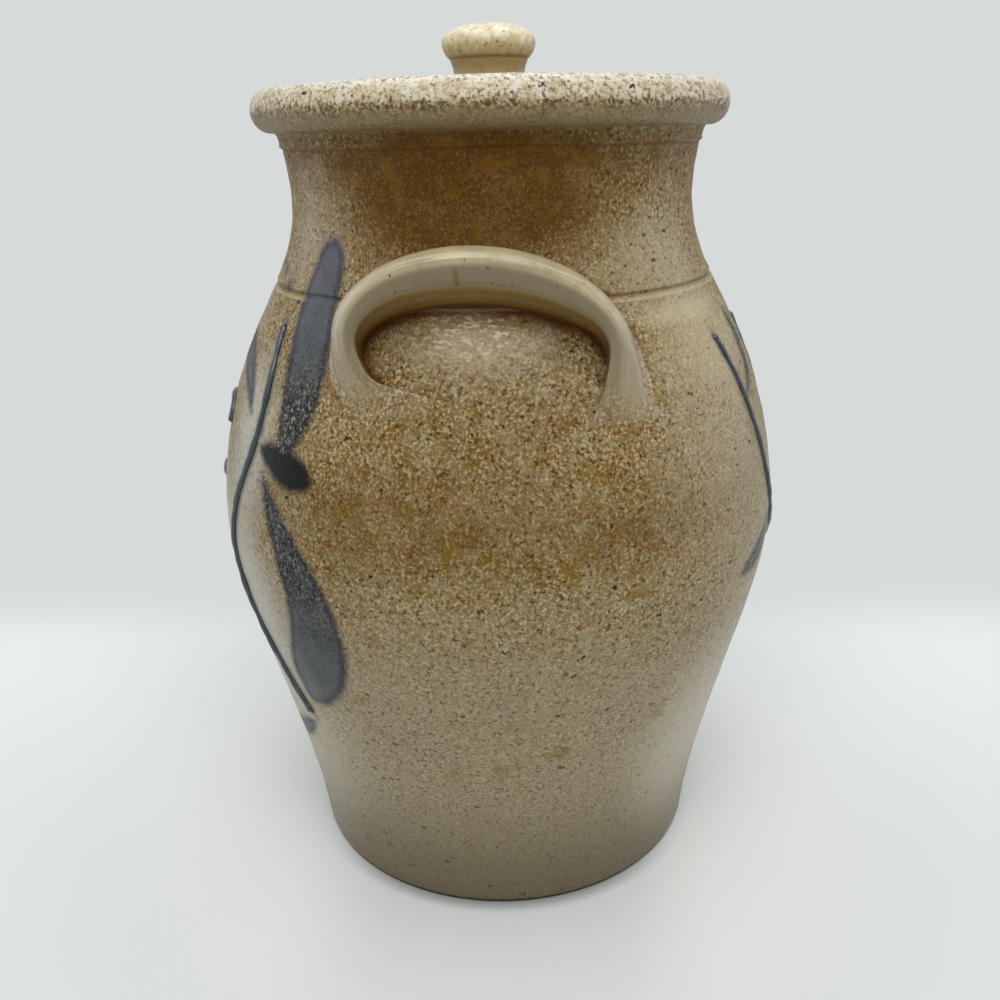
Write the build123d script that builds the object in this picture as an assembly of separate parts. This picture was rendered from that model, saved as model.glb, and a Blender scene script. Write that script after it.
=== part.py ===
from build123d import *
import os

# Lidded stoneware crock for fruit kept in spirit, in millimetres. +Z is up and the origin is
# the middle of the flat base. The decorated front faces -Y and the two lugs stand at +X and -X.

# Jar, outside: radii, then how far each level stands above the one below it
foot_radius = 73.2
belly_radius = 100.0
groove_radius = 75.2
neck_radius = 67.8
collar_radius = 69.3
rim_radius = 78.5
belly_height = 132.0
groove_rise = 80.7
neck_rise = 25.3
collar_rise = 16.8
rim_rise = 18.7
collar_step = 0.9
foot_round = 1.6
groove_size = 0.9

# Levels of the jar above its base
groove_height = belly_height + groove_rise
neck_height = groove_height + neck_rise
collar_height = neck_height + collar_rise
rim_height = collar_height + rim_rise

# Rolled rim, which starts just inside its lowest point
roll_height = 13.8
roll_width = 12.6
roll_start_angle = 262.0

# Jar, inside
wall = 7.0
floor_thickness = 9.0
floor_corner = 11.0
mouth_radius = 61.5
ledge_depth = 7.4
rim_wall = 8.4
ledge_round = 1.5

# Heights, then radii: from foot to belly, from belly to groove, and from groove to neck
lower_wall_shares = ((0.16, 0.11), (0.39, 0.355), (0.667, 0.71), (0.9, 0.963))
shoulder_shares = ((0.161, 0.032), (0.421, 0.194), (0.62, 0.399), (0.805, 0.669))
throat_shares = ((0.45, 0.66),)

# Lug handles: they stand off the line on the shoulder, and their crown rises above it
handle_stand_off = 21.3
handle_lean = 5.0
handle_crown_lift = 19.6
handle_arch_rise = 28.3
handle_leg = 18.0
handle_half_width = 42.0
handle_leg_thickness = 8.0
handle_crown_thickness = 11.1
handle_tilt = 24.0
handle_flare_share = 0.05
handle_round = 3.3

# Lid
lid_thickness = 5.0
lid_rise = 1.4
lid_side_clearance = 1.0
lid_seat_clearance = 0.3
lid_edge_round = 1.8
knob_height = 19.4
knob_radius = 15.4
knob_crease_radius = 12.9
knob_neck_radius = 11.6
knob_base_radius = 14.2
knob_crease_share = 0.45
knob_neck_share = 0.16
knob_widest_share = 0.68
knob_dome_share = 0.56

# Raised slip decoration
slip_height = 1.3
trail_width = 3.2
bead_radius = 3.7
bead_pitch = 9.6
bunch_rows = 4
bunch_top = 146.0
spray_half_width = 60.0
spray_top = 204.0
spray_bottom = 70.0
spray_shares = ((0.8, 1.0), (0.98, 0.74), (0.8, 0.47), (0.86, 0.22), (1.0, 0.0))
twig_half_width = 30.0
twig_top = 176.0
twig_stalk = 16.0
twig_shares = ((0.0, 0.0), (0.18, 0.45), (0.55, 0.95), (0.92, 0.86), (1.0, 0.55))
back_half_width = 44.0
back_top = 198.0
back_bottom = 104.0
back_shares = ((1.0, 1.0), (0.88, 0.62), (0.66, 0.34), (0.0, 0.0))

overrun = 20.0


def between(start, end, share):
    return start + (end - start) * share


def shared_points(start, end, shares):
    """Points between two (radius, height) corners, from (height, radius) shares."""
    points = []
    for height_share, radius_share in shares:
        radius = between(start[0], end[0], radius_share)
        points.append((radius, between(start[1], end[1], height_share)))
    return points


def wall_points(outwards=0):
    """Outside of the jar from foot to collar, as (radius, height)."""
    foot = (foot_radius, 0)
    belly = (belly_radius, belly_height)
    groove = (groove_radius, groove_height)
    neck = (neck_radius, neck_height)
    points = [foot, *shared_points(foot, belly, lower_wall_shares)]
    points += [belly, *shared_points(belly, groove, shoulder_shares)]
    points += [groove, *shared_points(groove, neck, throat_shares)]
    points += [neck, (collar_radius, collar_height)]
    return [(radius + outwards, height) for radius, height in points]


def turned(outline):
    """Solid of revolution about Z from edges drawn as (radius, height)."""
    return revolve(Plane.XZ * make_face(outline), Axis.Z)


def rim_roll():
    """Outside and top of the rolled rim."""
    half_width = roll_width / 2
    half_height = roll_height / 2
    center = (rim_radius - half_width, rim_height - half_height)
    sweep_angle = 360 + 90 - roll_start_angle
    return EllipticalCenterArc(
        center, half_width, half_height, roll_start_angle, arc_size=sweep_angle
    )


def jar_outside():
    """Edges of the outside, from the middle of the base to the top of the rim."""
    wall_edge = Spline(*wall_points())
    roll = rim_roll()
    step = (collar_radius + collar_step, collar_height + collar_step)
    base = Line((0, 0), wall_edge @ 0)
    return [base, wall_edge, Line(wall_edge @ 1, step), Line(step, roll @ 0), roll]


def jar_envelope():
    """The jar without its hollow and its groove, which the lugs and the slip sit on."""
    edges = jar_outside()
    top = edges[-1] @ 1
    middle = (0, top.Y)
    return turned([*edges, Line(top, middle), Line(middle, (0, 0))])


def corner_at(section, place):
    """The corner of a drawn section that lies at a place."""
    return section.vertices().sort_by_distance(Vector(*place))[0]


def jar_body():
    """Thrown jar with a rolled rim, a ledge for the lid inside it and a line on the shoulder."""
    ledge = rim_height - ledge_depth
    recess_radius = rim_radius - rim_wall
    inner_edge = Spline(*wall_points(-wall)[1:-1], (mouth_radius, collar_height))
    outside = jar_outside()
    brim = (recess_radius, rim_height)
    lip = (mouth_radius, ledge)
    floor_edge = ((inner_edge @ 0).X, floor_thickness)
    places = [outside[-1] @ 1, brim, (recess_radius, ledge), lip, inner_edge @ 1]
    lining = [Line(start, end) for start, end in zip(places, places[1:])]
    places = [inner_edge @ 0, floor_edge, (0, floor_thickness), (0, 0)]
    lining += [inner_edge, *(Line(start, end) for start, end in zip(places, places[1:]))]
    section = make_face([*outside, *lining])
    section = fillet(corner_at(section, floor_edge), floor_corner)
    section = fillet(corner_at(section, lip), ledge_round)
    section = fillet(corner_at(section, brim), ledge_round)
    section = fillet(corner_at(section, (foot_radius, 0)), foot_round)
    groove = Plane.XZ * Pos(groove_radius, groove_height) * Circle(groove_size)
    return revolve(Plane.XZ * section, Axis.Z) - revolve(groove, Axis.Z)


def handle_reach():
    return groove_radius + handle_stand_off


def handle_crown():
    return groove_height + handle_crown_lift


def handle_end():
    return handle_crown() - handle_arch_rise - handle_leg


def arch(depth, half_width, rise, spring):
    """Upright arch across X at a depth: half an ellipse on two straight legs."""
    end = handle_end() - overrun
    plane = Plane(origin=(depth, 0, 0), x_dir=(0, 1, 0), z_dir=(1, 0, 0))
    top = EllipticalCenterArc((0, spring), half_width, rise, 0, arc_size=180)
    legs = Polyline((-half_width, spring), (-half_width, end), (half_width, end), (half_width, spring))
    return plane * make_face([top, legs])


def arch_block(half_width, rise):
    """Arch carried from deep in the jar outwards and up, a little wider at its outer end."""
    slope = Vector(1, 0).rotate(Axis.Z, handle_tilt)
    faces = []
    for depth in (groove_radius / 2, handle_reach() + overrun):
        forward = depth - handle_reach()
        spring = handle_crown() - handle_arch_rise + forward * slope.Y / slope.X
        faces.append(arch(depth, half_width + forward * handle_flare_share, rise, spring))
    return loft(faces, ruled=True)


def handle():
    """Lug at +X: a thick arched strap fused to the shoulder along its whole inner edge."""
    outer = arch_block(handle_half_width, handle_arch_rise)
    opening_half_width = handle_half_width - handle_leg_thickness
    inner = arch_block(opening_half_width, handle_arch_rise - handle_crown_thickness)
    top = handle_crown() + overrun
    lean = handle_lean / (handle_crown() - handle_end())
    low_corner = (handle_reach() - handle_lean, handle_end())
    reach = [(0, handle_end()), low_corner, (handle_reach() + overrun * lean, top)]
    strap = (outer - inner) & turned(Polyline(*reach, (0, top), close=True))
    front = strap.faces().filter_by(GeomType.CONE)[0]
    return fillet(front.edges(), handle_round) - jar_envelope()


def lid_bottom():
    return rim_height - ledge_depth + lid_seat_clearance


def lid_top():
    return lid_bottom() + lid_thickness + lid_rise


def lid_plate():
    """Disc that lies on the ledge inside the rim, a little higher in the middle."""
    radius = rim_radius - rim_wall - lid_side_clearance
    edge_top = lid_bottom() + lid_thickness
    outline = Polyline(
        (0, lid_bottom()),
        (radius, lid_bottom()),
        (radius, edge_top),
        (knob_base_radius, lid_top()),
        (0, lid_top()),
        close=True,
    )
    section = make_face(outline)
    for place in ((radius, lid_bottom()), (radius, edge_top)):
        section = fillet(corner_at(section, place), lid_edge_round)
    return revolve(Plane.XZ * section, Axis.Z)


def lid_knob():
    """Mushroom knob: a flared foot, a short neck, a crease and a domed cap."""
    base = lid_top()
    top = base + knob_height
    foot = (knob_base_radius, base)
    neck = (knob_neck_radius, base + knob_height * knob_neck_share)
    crease = (knob_crease_radius, base + knob_height * knob_crease_share)
    widest = base + knob_height * knob_widest_share
    bulge = knob_radius - knob_crease_radius
    shoulder = (knob_radius, between(widest, top, knob_dome_share))
    crown = (knob_radius * knob_dome_share, top)
    outline = [
        Line((0, base), foot),
        Spline(foot, neck, crease),
        EllipticalCenterArc((crease[0], widest), bulge, widest - crease[1], 270, arc_size=90),
        Bezier((knob_radius, widest), shoulder, crown, (0, top)),
        Line((0, top), (0, base)),
    ]
    return turned(outline)


def slip_skin():
    """Layer on the outside of the wall that all raised slip is cut from."""
    inside = Spline(*wall_points())
    outside = Spline(*wall_points(slip_height))
    ends = [Line(inside @ 0, outside @ 0), Line(inside @ 1, outside @ 1)]
    return turned([inside, outside, *ends])


def raised(drawing, side):
    """Slip laid on the wall: a drawing in X and Z, carried out to the front (1) or back (-1)."""
    reach = belly_radius + overrun
    block = extrude(Plane.XZ * drawing, amount=side * reach)
    return [solid for solid in (block & slip_skin()).solids()]


def mirrored_trails(shares, half_width, bottom, top):
    """A trail of slip through shares of a half width and a height, and its mirror image."""
    trails = []
    for hand in (1, -1):
        points = []
        for across, up in shares:
            points.append((hand * half_width * across, between(bottom, top, up)))
        trails.append(trace(Spline(*points), line_width=trail_width))
    return trails


def upright_trail(bottom, top):
    return trace(Line((0, bottom), (0, top)), line_width=trail_width)


def front_trails():
    """Two stems beside the bunch of berries, and the twig with tendrils that it hangs from."""
    twig_bottom = bunch_top + bead_pitch
    left, right = mirrored_trails(twig_shares, twig_half_width, twig_bottom, twig_top)
    twig = left + right + upright_trail(twig_bottom, twig_top + twig_stalk)
    solids = raised(twig, 1)
    for trail in mirrored_trails(spray_shares, spray_half_width, spray_bottom, spray_top):
        solids += raised(trail, 1)
    return Compound(solids)


def front_beads():
    """Bunch of berries: drops of slip in rows that shorten downwards."""
    solids = []
    for row in range(bunch_rows):
        count = bunch_rows - row
        height = bunch_top - row * bead_pitch
        for place in range(count):
            across = (place - (count - 1) / 2) * bead_pitch
            solids += raised(Pos(across, height) * Circle(bead_radius), 1)
    return Compound(solids)


def back_trails():
    """Sprig on the back: three stems that meet at their foot."""
    left, right = mirrored_trails(back_shares, back_half_width, back_bottom, back_top)
    return Compound(raised(left + right + upright_trail(back_bottom, back_top), -1))


lug = handle()
parts = {
    "jar_body": jar_body(),
    "handle_right": lug,
    "handle_left": lug.rotate(Axis.Z, 180),
    "lid_plate": lid_plate(),
    "lid_knob": lid_knob(),
    "front_trails": front_trails(),
    "front_beads": front_beads(),
    "back_trails": back_trails(),
}

os.makedirs("parts", exist_ok=True)
for name, shape in parts.items():
    export_step(shape, f"parts/{name}.step")
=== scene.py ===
import math

import bpy
import numpy as np
from mathutils import Matrix, Vector


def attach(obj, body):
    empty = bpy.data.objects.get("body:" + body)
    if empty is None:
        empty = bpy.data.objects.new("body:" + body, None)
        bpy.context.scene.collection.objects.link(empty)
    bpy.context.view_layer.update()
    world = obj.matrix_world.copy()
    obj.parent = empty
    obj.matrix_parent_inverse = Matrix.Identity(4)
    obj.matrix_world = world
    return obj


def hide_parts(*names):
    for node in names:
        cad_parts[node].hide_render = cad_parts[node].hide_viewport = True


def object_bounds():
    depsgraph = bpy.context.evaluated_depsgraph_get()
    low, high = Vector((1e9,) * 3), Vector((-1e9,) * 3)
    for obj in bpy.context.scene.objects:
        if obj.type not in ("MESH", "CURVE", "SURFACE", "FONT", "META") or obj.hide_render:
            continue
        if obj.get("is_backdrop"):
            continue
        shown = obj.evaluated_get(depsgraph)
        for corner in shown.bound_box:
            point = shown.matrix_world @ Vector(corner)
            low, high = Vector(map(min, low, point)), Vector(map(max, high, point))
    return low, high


# Lidded stoneware crock for fruit kept in spirit: jar, two lugs, lid with a knob, slip and cobalt.
# Shapes are worked out in millimetres, in the part's own frame, and become metres in the meshes.

bl_info = {
    "name": "Stoneware Crock",
    "version": (1, 0, 0),
    "blender": (4, 5, 0),
    "location": "3D View > Sidebar > Crock",
    "description": "Salt-glazed jar with lugs, an inset lid and cobalt decoration",
    "category": "Add Mesh",
}

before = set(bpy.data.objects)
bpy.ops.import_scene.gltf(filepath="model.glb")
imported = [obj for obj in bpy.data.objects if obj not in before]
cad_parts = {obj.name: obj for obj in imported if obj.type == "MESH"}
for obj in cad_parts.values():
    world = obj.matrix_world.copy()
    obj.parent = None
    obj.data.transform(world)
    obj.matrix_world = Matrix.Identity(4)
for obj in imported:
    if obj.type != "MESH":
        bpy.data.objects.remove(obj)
cad_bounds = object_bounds()

MM = 0.001
UP = np.array([0.0, 0.0, 1.0])

# Jar. Outside of the thrown wall, foot to collar, as (radius, height)
WALL = (
    (73.2, 0.0), (76.15, 21.1), (82.7, 51.5), (92.2, 88.0), (99.0, 118.8), (100.0, 132.0),
    (99.2, 145.0), (95.2, 166.0), (90.1, 182.0), (83.4, 197.0), (75.2, 212.7), (70.3, 224.1),
    (67.8, 238.0), (69.3, 254.8),
)
COLLAR = (
    (69.2, 254.0), (69.1, 254.6), (69.8, 255.2), (70.3, 255.7), (70.1, 256.3), (70.3, 257.6), (70.7, 258.8),
)
COLLAR_FOOT = 254.0
BASE_RADIUS = 71.6
BASE_ROUND = 1.6
ROLL_CENTER = (72.2, 266.6)
ROLL_SIZE = (6.3, 6.9)
ROLL_ARC = (262.0, 450.0)
ROLL_FOOT = 262.0
RIM_TOP = 273.5
RECESS_RADIUS = 70.1
LEDGE_HEIGHT = 266.1
MOUTH_RADIUS = 61.5
EDGE_ROUND = 1.5
WALL_THICKNESS = 7.0
FLOOR_TOP = 9.0
FLOOR_CORNER = 11.0

# Line cut round the shoulder: its height and half width, and the lip pushed up above it
GROOVE_HEIGHT = 212.7
GROOVE_WIDTH = 0.62
LIP_RISE, LIP_OFFSET, LIP_WIDTH = 0.16, 1.7, 0.8

# Throwing rings: pitch of the fine and the wide ones, length over which the fine ones come and go
RING_PITCH, WIDE_PITCH, RING_FADE = 9.7, 23.0, 31.0

# Lid plate: underside, edge and top. Knob outline, foot to crown
LID_BASE, LID_TOP = 266.4, 272.8
LID_EDGE, LID_ROUND = 67.3, 1.8
KNOB_BASE, KNOB_TOP = 272.5, 292.2
KNOB = (
    (14.4, 272.7), (12.6, 274.0), (11.75, 276.2), (11.8, 277.8), (12.2, 279.4), (12.75, 280.8),
    (12.95, 281.4), (13.35, 281.7), (14.3, 282.8), (15.05, 284.2), (15.4, 285.8), (15.2, 287.2),
    (14.4, 288.5), (13.0, 289.7), (10.5, 290.85), (7.2, 291.65), (3.6, 292.08), (0.0, 292.2),
)
KNOB_CREASE = 6

# Stations along a lug, foot to foot: outer edge (Y, Z), inner edge (Y, Z), stand-off as a share
LUG = (
    (-15.0, 187.6, -11.0, 190.2, -0.12), (-21.6, 186.8, -17.0, 190.8, 0.03),
    (-30.0, 187.4, -24.0, 192.8, 0.17), (-37.6, 190.8, -31.2, 194.8, 0.36),
    (-41.6, 197.2, -34.8, 199.0, 0.62), (-42.6, 204.8, -36.4, 205.5, 0.88),
    (-40.6, 213.8, -33.8, 212.2, 1.0), (-34.0, 222.1, -28.2, 217.0, 1.0),
    (-24.2, 228.3, -20.9, 220.2, 1.0), (-12.8, 231.6, -11.8, 222.0, 1.0),
    (-2.0, 232.3, -1.6, 222.3, 1.0), (9.5, 231.2, 8.2, 221.5, 1.0),
    (20.3, 227.4, 17.9, 218.6, 1.0), (29.6, 221.5, 26.5, 214.4, 1.0),
    (36.8, 213.6, 32.4, 209.6, 1.0), (40.8, 204.9, 35.4, 203.1, 0.96),
    (42.4, 197.0, 35.2, 196.6, 0.84), (43.0, 190.0, 34.2, 190.6, 0.66),
    (42.8, 183.2, 33.0, 185.0, 0.47), (41.4, 176.6, 32.0, 179.6, 0.31),
    (39.0, 170.6, 31.2, 174.8, 0.17), (36.2, 166.6, 31.2, 171.0, 0.04),
    (34.0, 164.0, 31.4, 167.6, -0.12),
)
LUG_ROWS, LUG_COLUMNS = 150, 96
# Distance of the strap's front from the axis at two heights, and slope of the line back to the wall
LUG_FRONT = ((186.0, 91.5), (232.3, 96.5))
LUG_TILT = 24.0
LUG_REACH_LIMIT = 45.0
LUG_SINK = 0.55
# Loop round the lug: share across the strap, inner to outer edge, and share of the stand-off
LUG_SECTION = (
    (-0.16, -0.20), (-0.07, 0.05), (-0.05, 0.35), (-0.06, 0.66), (-0.03, 0.82), (0.12, 0.905),
    (0.44, 0.995), (0.60, 0.99), (0.90, 0.89), (1.16, 0.72), (1.28, 0.50), (1.31, 0.29),
    (1.37, 0.10), (1.56, 0.0), (1.90, -0.18), (0.7, -0.42),
)
LUG_SECTION_SIZE = (11.0, 20.0)

# Painted strokes: (degrees from the middle of the face, height, half width), then pigment at both
# ends. Each is mirrored to the other side of its face.
FRONT_STROKES = (
    (((48.5, 166, 1.5), (49.8, 176, 6.3), (50.4, 188, 8.8), (49.2, 200, 9.2), (47.6, 212, 8.6),
      (47.9, 220, 7.2), (48.2, 225, 5.0), (48.4, 228.3, 1.2)), 0.9, 0.1),
    (((41.4, 167.3, 1.6), (44.5, 166.2, 4.0), (49.0, 164.4, 5.8), (53.0, 163.2, 5.2),
      (55.6, 162.2, 2.4)), 1.0, 1.0),
    (((42.5, 160, 1.4), (45.6, 152, 3.4), (50.0, 140, 6.2), (54.4, 126, 9.4), (55.2, 112, 11.8),
      (52.6, 98, 12.4), (49.0, 88, 9.4), (47.0, 81, 3.8)), 0.8, 0.34),
    (((34.0, 176, 0.6), (28.0, 185, 4.0), (21.0, 191, 5.4), (14.0, 195, 3.6), (9.5, 196, 0.6)), 0.3, 0.8),
    (((31.0, 116, 0.6), (25.0, 106, 4.2), (18.0, 99, 5.6), (11.0, 96, 3.6), (6.5, 95, 0.6)), 0.3, 0.8),
    (((42.5, 66, 0.8), (34.0, 57, 3.8), (25.0, 52, 3.3), (17.0, 51, 0.6)), 0.2, 0.7),
    (((26.0, 79, 2.4), (26.1, 79.5, 2.4)), 0.6, 0.6),
    (((20.5, 72, 2.0), (20.6, 72.5, 2.0)), 0.6, 0.6),
    (((15.5, 67, 1.6), (15.6, 67.5, 1.6)), 0.6, 0.6),
    (((31.0, 214, 2.1), (31.1, 214.5, 2.1)), 0.5, 0.5),
    (((24.5, 218, 1.8), (24.6, 218.5, 1.8)), 0.5, 0.5),
    (((18.5, 220, 1.4), (18.6, 220.5, 1.4)), 0.5, 0.5),
)
BACK_STROKES = (
    (((19.5, 202.5, 0.8), (16.8, 197.0, 3.4), (17.2, 190.0, 3.6), (18.8, 184.0, 2.8),
      (22.5, 179.0, 1.9), (27.0, 175.0, 0.6)), 0.92, 0.6),
    (((16.0, 136, 0.7), (22.0, 128, 4.4), (28.0, 123, 4.9), (34.5, 121, 0.8)), 0.3, 0.8),
    (((3.5, 148, 0.7), (8.0, 159, 3.7), (9.5, 171, 4.1), (7.5, 184, 0.8)), 0.3, 0.8),
)
FAR_FROM_PAINT = -12.0

# Raised slip, as (X, Z) on its face: trails, each mirrored, a stem in the middle, the face's side
# (-1 is the front), and the number of points along the stem
FRONT_SLIP = (
    (((48.0, 204.0), (58.8, 169.2), (48.0, 133.0), (51.6, 99.5), (60.0, 70.0)),
     ((0.0, 155.6), (5.4, 164.8), (16.5, 175.0), (27.6, 173.1), (30.0, 166.8))),
    ((0.0, 155.6), (0.0, 192.0)), -1, 40,
)
BACK_SLIP = (
    (((44.0, 198.0), (38.7, 162.3), (29.0, 136.0), (0.0, 104.0)),), ((0.0, 104.0), (0.0, 198.0)), 1, 60,
)
TRAIL_POINTS = 90
BACK_THINNER = 0.75
BEAD_ROWS = 4
BEAD_TOP = 146.0
BEAD_PITCH = 9.6
FRONT_REACH = 101.15

# Fields of the glaze, and of painted light on its lower sides, each as middle, size along each axis and
# strength
CALM_PLACES = (
    ((2, -97, 118), (78, 38, 76), 0.95), ((58, 84, 172), (66, 56, 88), 0.75),
    ((-30, 96, 130), (90, 40, 80), 0.5), ((44, -54, 232), (30, 26, 28), 0.5),
    ((52, 52, 222), (34, 38, 24), 0.8), ((-64, -66, 190), (50, 50, 60), 0.5),
    ((86, -3, 207), (26, 46, 20), 0.6),
)
DRIFTS = (
    ((98, 2, 150), (34, 44, 22), 0.6), ((90, 38, 146), (30, 26, 14), 0.5),
    ((90, -22, 158), (30, 36, 24), 0.55), ((90, 4, 178), (30, 46, 20), 0.5),
    ((78, 50, 150), (30, 34, 16), 0.5), ((89, -40, 150), (30, 28, 24), 0.7),
    ((-96, -18, 150), (30, 44, 20), 0.7), ((-84, 40, 168), (34, 34, 26), 0.6),
    ((-30, 92, 140), (50, 30, 24), 0.4), ((20, 66, 244), (44, 30, 12), 0.6),
    ((-10, -68, 246), (50, 30, 10), 0.6), ((62, -28, 216), (30, 30, 14), 0.35),
)
RUST = (((84, -13, 61), (14, 4.5, 7), 1.0), ((88, 8, 84), (14, 9, 4), 0.7))
PALE_PANEL = (
    ((50, -86, 106), (44, 36, 58), 1.3), ((-50, -86, 106), (44, 36, 58), 1.3),
    ((0, -101, 112), (66, 44, 84), 0.9), ((0, -88, 196), (56, 40, 50), 0.5),
    ((56, -79, 172), (24, 24, 44), 1.0), ((-56, -79, 172), (24, 24, 44), 1.0),
)
# Painted light: paler spots low on both sides of the wall, standing for light from the pale floor.
PAINTED_SIDE_LIGHT_SPOTS = (((50, 70, 58), (50, 40, 56), 0.5), ((50, -70, 58), (50, 40, 56), 0.3))
NECK_FLASHES = (((64, -3, 241), (46, 60, 30), 1.0), ((-66, 8, 240), (40, 46, 24), 0.9))
NECK_DRIFTS = (((48, 44, 249), (34, 40, 10), 0.5), ((46, -44, 249), (34, 40, 10), 0.4))

# Fixed colours, sRGB from 0 to 255
TONES = {
    # Of the floor tones, the light one is painted light beside the pot and the dark one is a painted contact
    # shadow.
    "floor_painted_light": (246, 248, 247), "floor_painted_contact_shadow": (60, 58, 48),
    "stone": (146, 133, 106), "ochre": (120, 82, 16), "rose": (146, 112, 84), "calm": (154, 143, 115),
    # On the next line, the glint tone is a painted highlight and the foot tone is painted shade.
    "lower_wall": (148, 137, 111), "painted_glint": (208, 196, 170), "painted_foot_shade": (92, 81, 58),
    "drift": (98, 72, 22), "belt": (92, 70, 30), "stain": (116, 90, 30), "rust": (132, 96, 48),
    # The pale side tone on the next line is painted light.
    "iron": (52, 34, 14), "panel": (178, 176, 164), "painted_side_light": (196, 191, 176), "flash_ochre": (116, 80, 8),
    # On the next line, the recess tone is painted light under the lug, and the gleam and the pale band are
    # painted highlights.
    "wet_gloss_and_painted_light": (156, 125, 72), "painted_gleam": (252, 240, 208), "painted_band_highlight": (190, 180, 154),
    # On the next line, the shoulder tone and the lip tone are painted highlights.
    "shoulder": (192, 178, 142), "line_shade": (96, 72, 38), "painted_edge_highlight": (196, 182, 148),
    # The foot tone on the next line is a painted contact shadow.
    "inside": (112, 90, 58), "painted_contact_shade": (44, 36, 22),
    "rim_grey": (132, 118, 88), "rim_cream": (206, 192, 162), "rim_top": (224, 219, 205),
    "rim_white": (216, 216, 208), "rim_brown": (128, 108, 68), "rim_speck": (56, 40, 14),
    "rim_iron": (56, 38, 16), "rim_fleck": (106, 84, 50),
    "violet_wash": (86, 82, 96), "violet_edge": (60, 60, 82), "cobalt_solid": (4, 9, 10),
    "cobalt_bloom": (84, 88, 88),
    # Of the lug tones, the crest and edge tones are painted highlights, the lower tone is painted shade, the
    # olive tone is pooled glaze with painted shade, and its pale strip is painted bounced light.
    "lug_patch": (134, 119, 84), "lug_streak": (144, 130, 94), "lug_painted_crest_highlight": (198, 187, 156),
    "lug_painted_low_shade": (116, 101, 69), "lug_painted_underedge_highlight": (140, 126, 94), "olive_glaze_and_lug_shade": (124, 94, 34),
    "lug_painted_bounce_light": (124, 106, 74), "lug_back": (98, 80, 42), "lug_drip": (92, 76, 26),
    "lug_speck": (58, 42, 20), "lug_smear": (128, 113, 82), "lid_pale": (176, 160, 124),
    "knob_side": (192, 175, 130), "knob_crown": (218, 209, 178), "knob_neck": (150, 130, 86),
    # The knob's crease tone on the next line is painted shade.
    "knob_painted_crease_shade": (120, 92, 50), "knob_patch": (160, 132, 84), "knob_pale": (226, 220, 200),
    "knob_brown": (142, 122, 76), "knob_speck": (120, 88, 46),
    "slip_dark": (34, 39, 47), "slip_blue": (60, 68, 82), "slip_salt": (128, 124, 112),
}

# Stage. Lights: name, setting of the power, place, target, size
FLOOR_SIZE = 3000.0
FLOOR_CENTER, FLOOR_DEPTH, FLOOR_SIDE = 150.0, 100.0, 165.0
LIGHTS = (
    ("key_light", "key_power", (800, 60, 1060), (0, 0, 120), (1200, 800)),
    ("top_light", "top_power", (-150, -20, 1290), (0, 0, 100), (1300, 1300)),
    ("side_light_left", "side_power", (-120, -900, 260), (0, 0, 90), (900, 700)),
    ("side_light_right", "side_power", (-120, 900, 260), (0, 0, 90), (900, 700)),
)
CAMERA_PLACE = (359.3, 0.0, 258.5)
CAMERA_PITCH, CAMERA_YAW, CAMERA_ROLL, CAMERA_ORBIT = 0.351811, 0.00133, -0.021762, math.radians(2.3)
CAMERA_LENS, CAMERA_SENSOR = 36.007, 36.0


def tone(red, green, blue):
    """Linear colour of an sRGB colour given from 0 to 255: the power 2.4 curve with its straight toe."""
    values = (value / 255 for value in (red, green, blue))
    return tuple(v / 12.92 if v <= 0.04045 else ((v + 0.055) / 1.055) ** 2.4 for v in values)


def color_setting(name, description, *channels):
    return bpy.props.FloatVectorProperty(
        name=name, description=description, subtype="COLOR", size=3, default=tone(*channels))


def length_setting(name, description, millimetres):
    return bpy.props.FloatProperty(
        name=name, description=description, unit="LENGTH", default=millimetres * MM)


def power_setting(name, description, watts):
    return bpy.props.FloatProperty(
        name=name, description=description, unit="POWER", default=watts, min=0.0)


class StageSettings(bpy.types.PropertyGroup):
    """Floor, background and light."""

    floor_near: color_setting("Floor", "Colour of the floor round the pot", 214, 218, 216)
    floor_band: color_setting("Floor further out", "Paler floor further from the pot", 228, 233, 233)
    background: color_setting("Background", "Colour behind the pot", 214, 218, 217)
    sky_strength: bpy.props.FloatProperty(
        name="Sky", description="Strength of the even light from all round", default=0.34, min=0.0)
    key_power: power_setting("Key light", "Power of the large soft light in front", 9.8)
    side_power: power_setting("Side lights", "Power of each soft light beside the pot", 1.7)
    top_power: power_setting("Top light", "Power of the large soft light above", 7.0)


class PotSettings(bpy.types.PropertyGroup):
    """Hand-made unevenness and the finishes of the pot."""

    ring_depth: length_setting("Throwing rings", "Depth of the rings left by the potter's fingers", 0.22)
    groove_depth: length_setting("Shoulder line", "Depth of the line cut round the shoulder", 0.9)
    slip_width: length_setting("Slip width", "Width of a raised slip line", 2.4)
    slip_height: length_setting("Slip height", "Height of a raised slip line", 1.25)
    bead_radius: length_setting("Berry radius", "Radius of a drop of slip", 3.7)
    clay_tan: color_setting("Tan clay", "Warm ground colour of the salt glaze", 116, 91, 38)
    clay_grey: color_setting("Grey clay", "Cool ground colour of the salt glaze", 124, 105, 66)
    grain_light: color_setting("Light grain", "Pale grains of the salt glaze", 184, 168, 132)
    speck: color_setting("Specks", "Dark pits between the grains", 66, 36, 0)
    flash: color_setting("Flashing", "Brown glaze where the salt ran thick", 84, 54, 0)
    crease: color_setting("Crease", "Red-brown glaze pooled in a crease", 90, 50, 14)
    lug_cream: color_setting("Lug clay", "Wiped, smooth clay of lugs and knob", 170, 157, 124)
    cobalt_thin: color_setting("Thin cobalt", "Watery cobalt wash", 88, 94, 98)
    cobalt_dense: color_setting("Dense cobalt", "Cobalt laid on thick", 2, 14, 26)


# Numpy surfaces


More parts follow.
